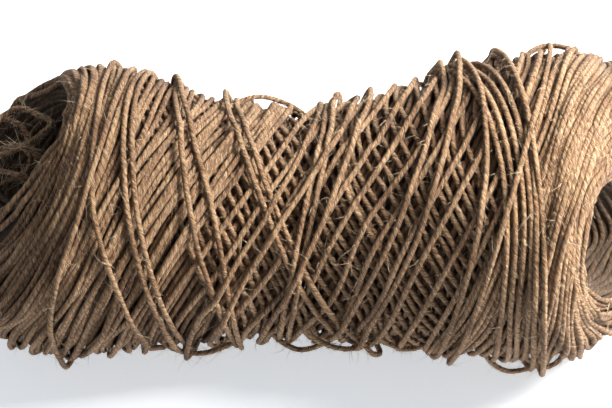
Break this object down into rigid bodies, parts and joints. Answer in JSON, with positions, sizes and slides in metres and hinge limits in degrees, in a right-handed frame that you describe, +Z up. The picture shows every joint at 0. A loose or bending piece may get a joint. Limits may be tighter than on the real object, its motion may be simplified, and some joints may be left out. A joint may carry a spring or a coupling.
{
  "type": "skein of jute twine",
  "caption": "Cross-wound skein of natural brown jute twine, lying on its side, with bulging ends, a sagging waist and a funnel-shaped hollow at each end.",
  "frame": {"origin": "centre of the bounding box, at the floor on which the skein lies", "axes": "+X along the winding axis towards the wider end, +Y to the back as seen in the picture, +Z up"},
  "size_m": [0.213, 0.0922, 0.0901],
  "materials": {
    "jute": "dull natural plant fibre"
  },
  "bodies": {
    "root": {"skein": "jute"}
  },
  "joints": []
}
